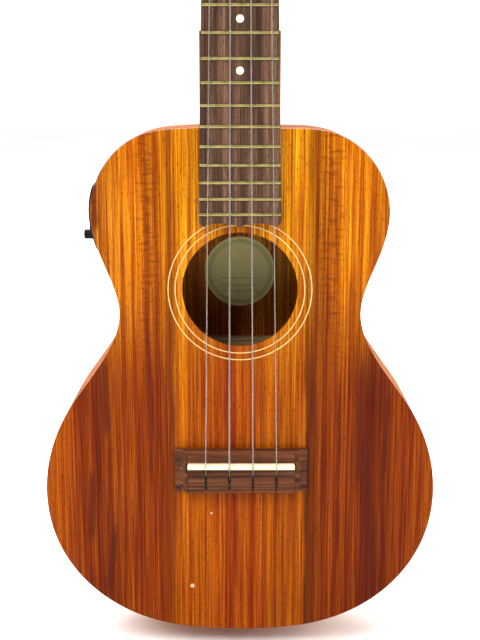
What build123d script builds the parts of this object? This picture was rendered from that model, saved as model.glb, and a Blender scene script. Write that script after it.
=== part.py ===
"""Tenor ukulele with a side preamp, modelled piece by piece in millimetres.

Frame: +Z runs up the neck towards the headstock, the strings face -Y and +X is the treble side.
The origin is on the centreline, at the nut's string-side face, in the plane of the soundboard's
outer face.
"""
import math
import os

from build123d import *

os.makedirs("parts", exist_ok=True)

# ---------------------------------------------------------------- driving dimensions
scale_length = 432.0
fret_count = 19
body_fret = 14                     # the neck meets the body at this fret
strings_named = ("g", "c", "e", "a")
string_diameters = (0.62, 0.98, 0.82, 0.62)

body_length = 301.3
upper_bout = 168.8
waist = 138.4
lower_bout = 229.4
depth_at_neck = 64.0
depth_at_tail = 71.0
soundboard_thick = 2.0
back_thick = 2.2
side_thick = 2.0
edge_round = 1.0

hole_below_nut = 331.4
hole_radius = 33.0
ring_radii = (37.0, 41.0)
ring_width = 0.65
ring_depth = 0.7

board_thick = 5.0
board_width_nut = 35.0
board_width_end = 46.4
board_straight = 291.5             # length of the fretboard's straight edges
board_point = 295.5                # length to the point at the end of the fretboard
fret_width = 2.0
fret_height = 1.0
tang_width = 0.5
tang_depth = 2.0
dot_radius = 2.1
dot_depth = 1.2
dot_frets = (5, 7, 10, 12)

nut_thick = 4.5
nut_height = 8.4                   # above the plane of the soundboard
nut_string_spread = 28.0
saddle_string_spread = 41.1
string_height_nut = 6.35           # underside of the strings at the nut
slot_clearance = 0.04

bridge_width = 77.6
bridge_block = 62.0
bridge_depth = 25.7
bridge_top_edge = 425.7            # distance from the nut to the bridge's near edge
bridge_height = 7.5
bridge_wing_height = 2.6
bridge_shift = 0.65                # the bridge stands a little to the treble side
saddle_length = 62.0
saddle_thick = 3.0
saddle_below_nut = 434.3
saddle_height = 11.5               # crown above the soundboard
saddle_slot_floor = 3.3
pickup_thick = 1.0
string_break_angle = 42.0          # how steeply the strings drop behind the saddle
anchor_width = 1.5
knot_room = 4.0
knot_radius = 1.25

neck_depth_nut = 15.0
neck_depth_heel = 18.0
neck_cheek = 2.5                   # straight part of the neck's sides under the fretboard
heel_foot = 14.5                   # how far the heel's foot stands out from the body
heel_width_foot = 21.0
heel_cap_thick = 2.0
tenon_width = 16.0
tenon_length = 12.0

head_angle = 13.0
head_length = 122.0
head_thick = 13.0
veneer_thick = 1.5
head_width_top = 66.0
head_width_waist = 55.0

post_half_spread = 19.0
post_rows = (38.0, 82.0)           # distances of the posts from the nut, along the headstock
post_radius = 3.0
post_height = 13.0
post_waist_radius = 2.5
running_gap = 0.05
bushing_radius = 4.0
bushing_flange = 5.4
bushing_flange_thick = 0.8
bushing_length = 7.0
winding_turns = 4
winding_clearance = 0.3

gear_teeth = 14
gear_module = 0.6
gear_width = 2.4
gear_bore = 2.0
worm_pitch_radius = 2.3
worm_length = 8.4
worm_shaft_radius = 1.4
mesh_gap = 0.05
gear_depth_below_face = 18.7       # gear's middle plane below the headstock's front face
plate_thick = 1.0
plate_width = 11.0
plate_length = 29.0
lug_thick = 1.2
button_length = 16.0
button_width = 13.0
button_thick = 7.0
button_start = 12.5                # from the post's axis to the button's collar

block_width = 48.0
neck_block_length = 24.0
tail_block_length = 13.0
lining_width = 4.0
lining_height = 6.0
brace_width = 5.0
brace_height = 7.0
bridge_plate_thick = 2.4
label_radius = 22.0
label_thick = 0.2

preamp_below_nut = 291.4
bezel_length = 38.0
bezel_width = 48.0
bezel_middle_depth = 32.0
bezel_thick = 1.8
bezel_corner = 4.5
housing_length = 34.0
housing_width = 38.0
housing_depth = 25.0
housing_wall = 1.5
housing_clearance = 0.2
knob_radius = 2.8
knob_length = 5.6
knob_shaft = 1.5
knob_spread = 24.0
knob_row = 10.6                    # the controls' row below the bezel's middle
display_row = 10.0                 # the display's middle above the bezel's middle
display_width = 22.0
display_length = 9.0
push_radius = 2.0
push_travel = 0.6
drawer_width = 23.0
drawer_height = 6.0
drawer_gap = 0.3
cell_radius = 10.0
cell_thick = 3.2

jack_depth = 36.0                  # from the soundboard's face to the jack's axis
plug_bore = 3.25
jack_barrel = 5.0
jack_stem = 4.4
jack_bore_length = 24.0
strap_button_radius = 8.0
strap_groove_radius = 5.6
strap_button_length = 10.0

screw_shank = 0.9
screw_head = 1.9
screw_head_thick = 0.9
tuner_screw_length = 9.0
preamp_screw_length = 7.0
recess_width = 0.45

# ---------------------------------------------------------------- worked-out places
def fret_place(number):
    """Height of a fret below the nut, by equal temperament."""
    return -scale_length * (1 - 2 ** (-number / 12))


body_top = fret_place(body_fret) - 0.9
body_tail = body_top - body_length
hole_z = -hole_below_nut
saddle_z = -saddle_below_nut
back_slope = (depth_at_tail - depth_at_neck) / body_length
back_outer = Plane(origin=(0, depth_at_neck, body_top), x_dir=(1, 0, 0), z_dir=(0, 1, back_slope))
back_inner = back_outer.offset(-back_thick)
deep = depth_at_tail + 10          # past the back, for pieces that are then cut to it


def facing(depth):
    """A plane parallel to the soundboard, at a depth behind its outer face."""
    return Plane.XZ.offset(-depth)


def back_depth(z):
    """Depth of the back's inner face at a height."""
    inner = math.hypot(1, back_slope) * back_thick
    return depth_at_neck + back_slope * (body_top - z) - inner


def board_half_width(z):
    return (board_width_nut + (board_width_end - board_width_nut) * -z / board_straight) / 2


# The body's half outline: three bouts set its width, and the rest follows them.
outline = (
    (0, body_top),
    (upper_bout * 0.2, body_top - 0.3),
    (upper_bout * 0.328, body_top - 3.8),
    (upper_bout * 0.459, body_top - 23.0),
    (upper_bout / 2, body_top - 46.5),
    (waist * 0.567, body_top - 73.7),
    (waist / 2, body_top - 105.0),
    (lower_bout * 0.361, body_top - 138.0),
    (lower_bout * 0.4505, body_top - 168.2),
    (lower_bout / 2, body_top - 211.0),
    (lower_bout * 0.4643, body_top - 249.5),
    (lower_bout * 0.3435, body_tail + 19.4),
    (lower_bout * 0.179, body_tail + 3.5),
    (lower_bout * 0.09, body_tail + 0.85),
    (0, body_tail),
)
other_half = [(-x, z) for x, z in reversed(outline[1:-1])]


outline_edge = Edge.make_spline([(x, z, 0) for x, z in (*outline, *other_half)], periodic=True)
inset_steps = 72                   # an inner outline is struck through this many places


def inset_points(inset):
    """Places on a line that runs inside the outline, at the same distance all round."""
    places = []
    for step in range(inset_steps):
        along = step / inset_steps
        point = outline_edge.position_at(along)
        heading = outline_edge.tangent_at(along)
        places.append((point.X + inset * heading.Y, point.Y - inset * heading.X))
    return places


def body_prism(inset, near, far):
    """The body's outline, drawn in by inset, as a prism between two depths."""
    points = inset_points(inset) if inset else (*outline, *other_half)
    with BuildPart() as prism:
        with BuildSketch(facing(near)):
            with BuildLine():
                Spline(*points, periodic=True)
            make_face()
        extrude(amount=near - far)
    return prism.part


def finish_piece(piece, name):
    """Label a piece and write it out."""
    piece.part.label = name
    export_step(piece.part, f"parts/{name}.step")


body_solid = body_prism(0, soundboard_thick, deep)
inner_solid = body_prism(side_thick, soundboard_thick, deep)
brace_room = body_prism(side_thick + lining_width, soundboard_thick, deep)

# ---------------------------------------------------------------- soundboard and rosette
with BuildPart() as soundboard:
    add(body_prism(0, 0, soundboard_thick))
    rim = soundboard.faces().sort_by(Axis.Y)[0].outer_wire().edges()
    fillet(rim, edge_round)
    with BuildSketch(facing(0)):
        with Locations((0, hole_z)):
            Circle(hole_radius)
    extrude(amount=-soundboard_thick, mode=Mode.SUBTRACT)
    for radius in ring_radii:
        with BuildSketch(facing(0)):
            with Locations((0, hole_z)):
                Circle(radius + ring_width / 2)
                Circle(radius - ring_width / 2, mode=Mode.SUBTRACT)
        extrude(amount=-ring_depth, mode=Mode.SUBTRACT)
finish_piece(soundboard, "soundboard")

with BuildPart() as rosette_rings:
    for radius in ring_radii:
        with BuildSketch(facing(0)):
            with Locations((0, hole_z)):
                Circle(radius + ring_width / 2)
                Circle(radius - ring_width / 2, mode=Mode.SUBTRACT)
        extrude(amount=-ring_depth)
finish_piece(rosette_rings, "rosette_rings")

# ---------------------------------------------------------------- back and sides
with BuildPart() as back_plate:
    add(body_prism(0, soundboard_thick, deep))
    split(bisect_by=back_outer, keep=Keep.BOTTOM)
    split(bisect_by=back_inner, keep=Keep.TOP)
    rim = back_plate.faces().sort_by(Axis.Y)[-1].outer_wire().edges()
    fillet(rim, edge_round)
finish_piece(back_plate, "back_plate")

tenon_front = 5.0
tenon_back = depth_at_neck - 14.0
preamp_z = -preamp_below_nut


with BuildPart() as tenon_shape:
    with BuildSketch(Plane.XY.offset(body_top - tenon_length)):
        with Locations((0, (tenon_front + tenon_back) / 2)):
            Rectangle(tenon_width, tenon_back - tenon_front)
    extrude(amount=tenon_length + 5)

jack_plane = Plane(origin=(0, jack_depth, body_tail), x_dir=(1, 0, 0), z_dir=(0, 0, 1))


def side_blank(keep):
    """One bent side, from the soundboard's inner face to the back's inner face."""
    with BuildPart() as blank:
        add(body_solid)
        add(inner_solid, mode=Mode.SUBTRACT)
        split(bisect_by=back_inner, keep=Keep.BOTTOM)
        split(bisect_by=Plane.YZ, keep=keep)
        add(tenon_shape.part, mode=Mode.SUBTRACT)
        with BuildSketch(jack_plane.offset(-5)):
            Circle(jack_barrel)
        extrude(amount=tail_block_length + 5, mode=Mode.SUBTRACT)
    return blank.part


side_bass_blank = side_blank(Keep.BOTTOM)
preamp_face = Plane(origin=(0, bezel_middle_depth, preamp_z), x_dir=(0, 1, 0), z_dir=(-1, 0, 0))
bezel_outer_x = upper_bout / 2 + bezel_thick
screw_y = bezel_width / 2 - 2.6
screw_z = bezel_length / 2 - 3.6


def preamp_point(across, up):
    """A place on the preamp's face plane: across is in depth, up is towards the headstock."""
    point = preamp_face.to_local_coords(Vector(0, bezel_middle_depth + across, preamp_z + up))
    return (point.X, point.Y)


preamp_screws = [preamp_point(y, z) for y in (-screw_y, screw_y) for z in (-screw_z, screw_z)]
skin_samples = [outline_edge.position_at(step / 2000) for step in range(1000)]
skin_samples = [point for point in skin_samples if point.Y > body_top - 90]
preamp_seats = []                  # each screw's place and the plane that its head sits on
for spot in preamp_screws:
    height = preamp_z - spot[1]
    skin = min(skin_samples, key=lambda point: abs(point.Y - height))
    preamp_seats.append((spot, preamp_face.offset(skin.X + bezel_thick - screw_head_thick - 0.2)))

with BuildPart() as side_bass:
    add(side_bass_blank)
    with BuildSketch(preamp_face):
        RectangleRounded(
            housing_width + 2 * housing_clearance, housing_length + 2 * housing_clearance, 2.0
        )
    extrude(amount=bezel_outer_x + 10, mode=Mode.SUBTRACT)
    with BuildSketch(preamp_face):
        with Locations(*preamp_screws):
            Circle(screw_shank)
    extrude(amount=bezel_outer_x + 10, mode=Mode.SUBTRACT)
finish_piece(side_bass, "side_bass")

side_treble_blank = side_blank(Keep.TOP)
with BuildPart() as side_treble:
    add(side_treble_blank)
finish_piece(side_treble, "side_treble")

# ---------------------------------------------------------------- blocks, linings and braces
with BuildPart() as neck_block:
    with BuildSketch(Plane.XY.offset(body_top)):
        with Locations((0, deep / 2)):
            Rectangle(block_width, deep)
    extrude(amount=-neck_block_length)
    add(inner_solid, mode=Mode.INTERSECT)
    split(bisect_by=back_inner, keep=Keep.BOTTOM)
    add(tenon_shape.part, mode=Mode.SUBTRACT)
finish_piece(neck_block, "neck_block")

with BuildPart() as tail_block:
    with BuildSketch(Plane.XY.offset(body_tail)):
        with Locations((0, deep / 2)):
            Rectangle(block_width, deep)
    extrude(amount=tail_block_length + side_thick)
    add(inner_solid, mode=Mode.INTERSECT)
    split(bisect_by=back_inner, keep=Keep.BOTTOM)
    with BuildSketch(jack_plane):
        Circle(jack_barrel)
    extrude(amount=tail_block_length + 5, mode=Mode.SUBTRACT)
finish_piece(tail_block, "tail_block")

with BuildPart() as front_linings:
    add(inner_solid)
    add(brace_room, mode=Mode.SUBTRACT)
    split(bisect_by=back_inner, keep=Keep.BOTTOM)
    with BuildSketch(facing(soundboard_thick + lining_height)):
        with Locations((0, (body_top + body_tail) / 2)):
            Rectangle(lower_bout + 20, body_length + 20)
    extrude(amount=-deep, mode=Mode.SUBTRACT)
with BuildPart() as back_linings:
    add(inner_solid)
    add(brace_room, mode=Mode.SUBTRACT)
    split(bisect_by=back_inner, keep=Keep.BOTTOM)
    split(bisect_by=back_inner.offset(-lining_height), keep=Keep.TOP)
with BuildPart() as both_linings:
    add(front_linings.part)
    add(back_linings.part)
    for block_z in (body_top - neck_block_length / 2, body_tail + (tail_block_length + side_thick) / 2):
        half = neck_block_length / 2 if block_z > hole_z else (tail_block_length + side_thick) / 2
        with BuildSketch(Plane.XY.offset(block_z - half)):
            with Locations((0, deep / 2)):
                Rectangle(block_width, deep)
        extrude(amount=2 * half, mode=Mode.SUBTRACT)
finish_piece(both_linings, "linings")

with BuildPart() as bridge_plate:
    with BuildSketch(facing(soundboard_thick)):
        with Locations((0, -bridge_top_edge - bridge_depth / 2)):
            Rectangle(bridge_width + 8, bridge_depth + 8)
    extrude(amount=-bridge_plate_thick)
finish_piece(bridge_plate, "bridge_plate")

with BuildPart() as top_braces:
    for brace_z in (hole_z + hole_radius + 8.0, hole_z - hole_radius - 8.0):
        with BuildSketch(facing(soundboard_thick)):
            with Locations((0, brace_z)):
                Rectangle(upper_bout, brace_width)
        extrude(amount=-brace_height)
    fan_top = hole_z - hole_radius - 8.5 - brace_width / 2
    fan_end = body_tail + tail_block_length + side_thick
    for fan_x in (-30.0, 0.0, 30.0):
        with BuildSketch(facing(soundboard_thick)):
            with Locations((fan_x, (fan_top + fan_end) / 2)):
                Rectangle(brace_width, fan_top - fan_end - 1.0)
        extrude(amount=-brace_height)
    add(brace_room, mode=Mode.INTERSECT)
    add(bridge_plate.part, mode=Mode.SUBTRACT)
finish_piece(top_braces, "top_braces")

with BuildPart() as back_braces:
    for brace_z in (hole_z + hole_radius + 9.0, hole_z - hole_radius - 11.0, saddle_z - 20.0):
        with BuildSketch(Plane.XY.offset(brace_z)):
            with Locations((0, back_depth(brace_z))):
                Rectangle(lower_bout, 2 * brace_height)
        extrude(amount=brace_width / 2, both=True)
    add(brace_room, mode=Mode.INTERSECT)
    split(bisect_by=back_inner, keep=Keep.BOTTOM)
finish_piece(back_braces, "back_braces")

label_plane = Plane(
    origin=(0, back_depth(hole_z), hole_z), x_dir=(1, 0, 0), z_dir=(0, 1, back_slope)
)
with BuildPart() as label:
    with BuildSketch(label_plane):
        Circle(label_radius)
    extrude(amount=-label_thick)
finish_piece(label, "label")

# ---------------------------------------------------------------- neck and headstock
head_sin = math.sin(math.radians(head_angle))
head_cos = math.cos(math.radians(head_angle))
head_face = Plane(origin=(0, 0, nut_thick), x_dir=(1, 0, 0), z_dir=(0, -head_cos, head_sin))
heel_half = board_half_width(body_top)
heel_base = depth_at_neck - heel_cap_thick

with BuildPart() as heel_plan:
    with BuildSketch(Plane.XY.offset(body_top - 4)):
        with BuildLine():
            Spline(
                (heel_half, 0),
                (heel_half * 0.84, depth_at_neck * 0.35),
                (heel_width_foot / 2, depth_at_neck),
                tangents=((0, 1), (-0.15, 1)),
            )
            Polyline((heel_width_foot / 2, depth_at_neck), (0, depth_at_neck), (0, 0), (heel_half, 0))
        make_face()
        mirror(about=Plane.YZ)
    extrude(amount=60)
with BuildPart() as heel_side:
    with BuildSketch(Plane.YZ):
        with BuildLine():
            Spline(
                (neck_depth_nut - 4, body_top + 52),
                (neck_depth_heel + 4, body_top + 27),
                (heel_base, body_top + heel_foot),
                (depth_at_neck, body_top + heel_foot - 0.2),
                tangents=((0.25, -1), (1, -0.1)),
            )
            Polyline(
                (depth_at_neck, body_top + heel_foot - 0.2),
                (depth_at_neck, body_top - 4),
                (0, body_top - 4),
                (0, body_top + 52),
                (neck_depth_nut - 4, body_top + 52),
            )
        make_face()
    extrude(amount=board_width_end, both=True)
with BuildPart() as whole_heel:
    add(heel_side.part)
    add(heel_plan.part, mode=Mode.INTERSECT)
    add(body_solid, mode=Mode.SUBTRACT)
    add(body_prism(0, -1, soundboard_thick), mode=Mode.SUBTRACT)
with BuildPart() as heel_cap:
    add(whole_heel.part)
    split(bisect_by=facing(heel_base), keep=Keep.BOTTOM)
finish_piece(heel_cap, "heel_cap")

with BuildPart() as head_outline:
    with BuildSketch(head_face):
        with BuildLine():
            Spline(
                (board_width_nut / 2, 0),
                (head_width_waist / 2, 20.0),
                (head_width_waist / 2 - 1, head_length * 0.45),
                (head_width_top / 2, head_length - 6),
                tangents=((0.15, 1), (0.12, 1)),
            )
            Spline(
                (head_width_top / 2, head_length - 6),
                (head_width_top / 4, head_length - 4.5),
                (0, head_length),
                tangents=((-1, 0.35), (-1, 0)),
            )
            Polyline((0, head_length), (0, 0), (board_width_nut / 2, 0))
        make_face()
        mirror(about=Plane.YZ)
    extrude(amount=-(veneer_thick + head_thick))

post_spots = [
    (-post_half_spread, post_rows[0]),
    (-post_half_spread, post_rows[1]),
    (post_half_spread, post_rows[1]),
    (post_half_spread, post_rows[0]),
]
wood_back = -(veneer_thick + head_thick)
worm_side = -1                     # the worms lie on the nut's side of the posts
plate_screw_shifts = (-worm_side * 9.5, worm_side * 13.5)


def head_plane(x, y, height):
    """A plane parallel to the headstock's face."""
    origin = head_face.from_local_coords(Vector(x, y, height))
    return Plane(origin=origin, x_dir=(1, 0, 0), z_dir=head_face.z_dir)


neck_sections = (
    (nut_thick, board_width_nut / 2, neck_depth_nut),
    (body_top - 3, heel_half, neck_depth_heel),
)

with BuildPart() as neck:
    for z, half_width, depth in neck_sections:
        with BuildSketch(Plane.XY.offset(z)):
            with BuildLine():
                Polyline(
                    (-half_width, neck_cheek), (-half_width, 0), (half_width, 0), (half_width, neck_cheek)
                )
                EllipticalCenterArc((0, neck_cheek), half_width, depth - neck_cheek, start_angle=0, arc_size=180)
            make_face()
    loft(ruled=True)
    add(head_outline.part)
    split(bisect_by=head_face.offset(-veneer_thick), keep=Keep.BOTTOM)
    add(body_solid, mode=Mode.SUBTRACT)
    add(body_prism(0, -1, soundboard_thick), mode=Mode.SUBTRACT)
    add(whole_heel.part)
    add(heel_cap.part, mode=Mode.SUBTRACT)
    with BuildSketch(Plane.XY.offset(body_top - tenon_length)):
        with Locations((0, (tenon_front + tenon_back) / 2)):
            Rectangle(tenon_width, tenon_back - tenon_front)
    extrude(amount=tenon_length + 3)
    with BuildSketch(head_face):
        with Locations(*post_spots):
            Circle(bushing_radius)
    extrude(amount=-bushing_length, mode=Mode.SUBTRACT)
    with BuildSketch(head_face):
        with Locations(*post_spots):
            Circle(post_radius + 0.3)
    extrude(amount=-(veneer_thick + head_thick + 2), mode=Mode.SUBTRACT)
    for x, y in post_spots:
        for shift in plate_screw_shifts:
            with BuildSketch(head_plane(x, y + shift, wood_back)):
                Circle(screw_shank)
            extrude(amount=tuner_screw_length - plate_thick, mode=Mode.SUBTRACT)
finish_piece(neck, "neck")

with BuildPart() as headstock_veneer:
    add(head_outline.part)
    split(bisect_by=head_face.offset(-veneer_thick), keep=Keep.TOP)
    with BuildSketch(head_face):
        with Locations(*post_spots):
            Circle(bushing_radius)
    extrude(amount=-veneer_thick, mode=Mode.SUBTRACT)
finish_piece(headstock_veneer, "headstock_veneer")

# ---------------------------------------------------------------- fretboard, frets and nut
fret_places = [fret_place(number) for number in range(1, fret_count + 1)]
fret_inset = 0.25                  # the frets' ends stop just inside the board's edges
dot_places = [(fret_place(number) + fret_place(number - 1)) / 2 for number in dot_frets]

with BuildPart() as fret_shapes:
    for z in fret_places:
        with BuildSketch(Plane.YZ):
            with BuildLine():
                crown = ThreePointArc(
                    (-board_thick, z - fret_width / 2),
                    (-board_thick - fret_height, z),
                    (-board_thick, z + fret_width / 2),
                )
                Polyline(
                    crown @ 1,
                    (-board_thick, z + tang_width / 2),
                    (-board_thick + tang_depth, z + tang_width / 2),
                    (-board_thick + tang_depth, z - tang_width / 2),
                    (-board_thick, z - tang_width / 2),
                    crown @ 0,
                )
            make_face()
        extrude(amount=board_half_width(z) - fret_inset, both=True)
finish_piece(fret_shapes, "frets")

with BuildPart() as fret_markers:
    with BuildSketch(facing(-board_thick)):
        with Locations(*[(0, z) for z in dot_places]):
            Circle(dot_radius)
    extrude(amount=-dot_depth)
finish_piece(fret_markers, "fret_markers")

with BuildPart() as fretboard:
    with BuildSketch(facing(-board_thick)):
        with BuildLine():
            Polyline((0, 0), (board_width_nut / 2, 0), (board_width_end / 2, -board_straight))
            ThreePointArc(
                (board_width_end / 2, -board_straight),
                (board_width_end / 2 - 1.2, -board_straight - 2.1),
                (board_width_end / 2 - 3.4, -board_straight - 3.1),
            )
            ThreePointArc(
                (board_width_end / 2 - 3.4, -board_straight - 3.1),
                (board_width_end / 4, -board_straight - 1.3),
                (3.3, -board_straight - 2.2),
            )
            ThreePointArc((3.3, -board_straight - 2.2), (1.3, -board_straight - 2.8), (0, -board_point))
            Line((0, -board_point), (0, 0))
        make_face()
        mirror(about=Plane.YZ)
    extrude(amount=-board_thick)
    add(fret_shapes.part, mode=Mode.SUBTRACT)
    add(fret_markers.part, mode=Mode.SUBTRACT)
finish_piece(fretboard, "fretboard")

# ---------------------------------------------------------------- bridge, saddle and pickup
bridge_z = -bridge_top_edge - bridge_depth / 2
string_count = len(strings_named)
nut_places = [nut_string_spread * (i / (string_count - 1) - 0.5) for i in range(string_count)]
saddle_places = [
    bridge_shift + saddle_string_spread * (i / (string_count - 1) - 0.5) for i in range(string_count)
]
crown_radius = saddle_thick / 2
saddle_slot_length = saddle_length + 2.4
bridge_back_edge = bridge_z - bridge_depth / 2
knot_y = -bridge_height + 4.0
knot_z = bridge_back_edge + 4.2

with BuildPart() as bridge:
    with BuildSketch(Plane.XY.offset(bridge_z)):
        with BuildLine():
            Polyline(
                (0, 0), (bridge_width / 2, 0), (bridge_width / 2, -bridge_wing_height),
            )
            ThreePointArc(
                (bridge_width / 2, -bridge_wing_height),
                (bridge_block / 2 + 2.6, -bridge_wing_height - 0.9),
                (bridge_block / 2, -bridge_height),
            )
            Polyline((bridge_block / 2, -bridge_height), (0, -bridge_height), (0, 0))
        make_face()
        mirror(about=Plane.YZ)
    extrude(amount=bridge_depth / 2, both=True)
    long_edges = bridge.edges().filter_by(Axis.X).group_by(Axis.Y)[0]
    fillet(long_edges, 1.0)
with BuildPart() as placed_bridge:
    with Locations((bridge_shift, 0, 0)):
        add(bridge.part)
    with BuildSketch(facing(-saddle_slot_floor)):
        with Locations((bridge_shift, saddle_z)):
            Rectangle(saddle_length, saddle_thick)
            SlotOverall(saddle_slot_length, saddle_thick)
    extrude(amount=bridge_height, mode=Mode.SUBTRACT)
    for x in saddle_places:
        with BuildSketch(facing(knot_y + knot_radius + 0.4)):
            with Locations((x, (saddle_z - 5.0 + bridge_back_edge - 1) / 2)):
                Rectangle(anchor_width, saddle_z - 5.0 - bridge_back_edge + 1)
        extrude(amount=bridge_height, mode=Mode.SUBTRACT)
        with BuildSketch(Plane.XY.offset(bridge_back_edge - 1)):
            with Locations((x, knot_y)):
                Circle(knot_room / 2)
        extrude(amount=8.0, mode=Mode.SUBTRACT)
finish_piece(placed_bridge, "bridge")

with BuildPart() as saddle:
    with BuildSketch(Plane.YZ.offset(bridge_shift)):
        with BuildLine():
            top = ThreePointArc(
                (-saddle_height + crown_radius, saddle_z - crown_radius),
                (-saddle_height, saddle_z),
                (-saddle_height + crown_radius, saddle_z + crown_radius),
            )
            Polyline(
                top @ 1,
                (-saddle_slot_floor - pickup_thick, saddle_z + crown_radius),
                (-saddle_slot_floor - pickup_thick, saddle_z - crown_radius),
                top @ 0,
            )
        make_face()
    extrude(amount=saddle_length / 2, both=True)
finish_piece(saddle, "saddle")

with BuildPart() as pickup_strip:
    with BuildSketch(facing(-saddle_slot_floor)):
        with Locations((bridge_shift, saddle_z)):
            Rectangle(saddle_length, saddle_thick - 0.2)
    extrude(amount=pickup_thick)
finish_piece(pickup_strip, "pickup_strip")

# ---------------------------------------------------------------- strings and nut
break_cos = math.cos(math.radians(string_break_angle))
break_sin = math.sin(math.radians(string_break_angle))
string_paths = {}
nut_bend_z = 0.8                   # the strings bend over the nut just behind its front face


def bend_radius(size):
    """The strings' centre line bends over the nut at this radius."""
    return 3.0 + size / 2


def cross_point(centre, radius, before, after):
    """Where two tangents to a circle meet: their outward directions are before and after."""
    share = radius / (1 + before.dot(after))
    return centre + (before + after) * share


for index, name in enumerate(strings_named):
    size = string_diameters[index]
    nut_point = Vector(nut_places[index], -string_height_nut - size / 2, nut_bend_z)
    crown_middle = Vector(saddle_places[index], -saddle_height + crown_radius, saddle_z)
    saddle_over = Vector(saddle_places[index], -saddle_height - size / 2, saddle_z)
    along = (saddle_over - nut_point).normalized()
    rise = Vector(0, along.Z, -along.Y).normalized()
    fall = Vector(0, -break_cos, -break_sin)
    corner = cross_point(crown_middle, crown_radius + size / 2, rise, fall)
    drop = (knot_y - corner.Y) / break_sin
    foot = Vector(corner.X, knot_y, corner.Z - drop * break_cos)
    end = Vector(foot.X, knot_y, knot_z)
    spot_x, spot_y = post_spots[index]
    winding_radius = post_waist_radius + size
    reach = winding_radius + size / 2 + winding_clearance
    inward = 1 if spot_x < 0 else -1
    top_turn = 5.0 + size * (winding_turns - 0.5)
    tip = head_face.from_local_coords(Vector(spot_x + inward * reach, spot_y, top_turn))
    string_paths[name] = (tip, nut_point, corner, foot, end)
    with BuildPart() as string:
        with BuildLine() as path:
            FilletPolyline(
                tip, nut_point, corner, foot, end,
                radius=[bend_radius(size), crown_radius + size / 2, 1.6],
            )
        with BuildSketch(Plane(origin=path.line @ 0, z_dir=path.line % 0)):
            Circle(size / 2)
        sweep(path=path.line)
        with Locations(end):
            Sphere(knot_radius)
    finish_piece(string, f"string_{name}")

with BuildPart() as nut:
    with BuildSketch(Plane.YZ):
        with BuildLine():
            Polyline(
                (0, 0), (-nut_height, 0), (-nut_height, 1.6), (-nut_height + 1.6, nut_thick),
                (0, nut_thick), (0, 0),
            )
        make_face()
    extrude(amount=board_width_nut / 2, both=True)
    for index, name in enumerate(strings_named):
        size = string_diameters[index]
        tip, bend, corner, _, _ = string_paths[name]
        before = Vector(0, corner.Y - bend.Y, corner.Z - bend.Z).normalized()
        after = Vector(0, tip.Y - bend.Y, tip.Z - bend.Z).normalized()
        floor = size / 2 + slot_clearance
        sideways = (tip.X - bend.X) / (tip.Z - bend.Z) * (nut_thick - nut_bend_z)
        with BuildSketch(Plane.YZ.offset(bend.X)):
            with BuildLine():
                Polyline(
                    (bend.Y + floor + before.Y * 2, bend.Z + before.Z * 2),
                    (bend.Y + floor, bend.Z),
                    (bend.Y + floor + after.Y * 6, bend.Z + after.Z * 6),
                    (-nut_height - 1, bend.Z + after.Z * 6),
                    (-nut_height - 1, bend.Z + before.Z * 2),
                    (bend.Y + floor + before.Y * 2, bend.Z + before.Z * 2),
                )
            make_face()
        extrude(amount=floor + max(sideways, 0) + 0.1, mode=Mode.SUBTRACT)
        with BuildSketch(Plane.YZ.offset(bend.X)):
            with BuildLine():
                Polyline(
                    (bend.Y + floor + before.Y * 2, bend.Z + before.Z * 2),
                    (bend.Y + floor, bend.Z),
                    (bend.Y + floor + after.Y * 6, bend.Z + after.Z * 6),
                    (-nut_height - 1, bend.Z + after.Z * 6),
                    (-nut_height - 1, bend.Z + before.Z * 2),
                    (bend.Y + floor + before.Y * 2, bend.Z + before.Z * 2),
                )
            make_face()
        extrude(amount=-(floor + max(-sideways, 0) + 0.1), mode=Mode.SUBTRACT)
finish_piece(nut, "nut")

# ---------------------------------------------------------------- tuners
gear_radius = gear_teeth * gear_module / 2
gear_tip = gear_radius + 0.55
gear_root = gear_radius - 0.75
worm_lead = math.pi * gear_module
worm_tip = worm_pitch_radius + 0.55
worm_root = worm_pitch_radius - 0.6
mesh_distance = gear_radius + worm_pitch_radius + mesh_gap
gear_top = -gear_depth_below_face + gear_width / 2
plate_back = wood_back - plate_thick
plate_shift = worm_side * 2.0
lug_inner = worm_length / 2 + 0.2
lug_width = 4.8


def worm_plane(x, y):
    """A plane square to a worm's axis, with its x direction towards the gear."""
    origin = head_face.from_local_coords(
        Vector(x, y + worm_side * mesh_distance, -gear_depth_below_face)
    )
    return Plane(origin=origin, x_dir=-worm_side * head_face.y_dir, z_dir=(1, 0, 0))


# One right-handed worm about its own axis; a crest faces the gear at its middle.
with BuildPart() as worm_shape:
    with BuildLine() as thread_path:
        Helix(pitch=worm_lead, height=4 * worm_lead, radius=worm_root, center=(0, 0, -2 * worm_lead))
    with BuildSketch(Plane(origin=thread_path.line @ 0, x_dir=(1, 0, 0), z_dir=thread_path.line % 0)):
        depth = worm_tip - worm_root
        with BuildLine():
            Polyline((-0.25, -0.56), (depth, -0.19), (depth, 0.19), (-0.25, 0.56), close=True)
        make_face()
    sweep(path=thread_path.line, is_frenet=True)
    Cylinder(worm_root, worm_length)
    Cylinder(worm_tip + 1, worm_length, mode=Mode.INTERSECT)

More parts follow.
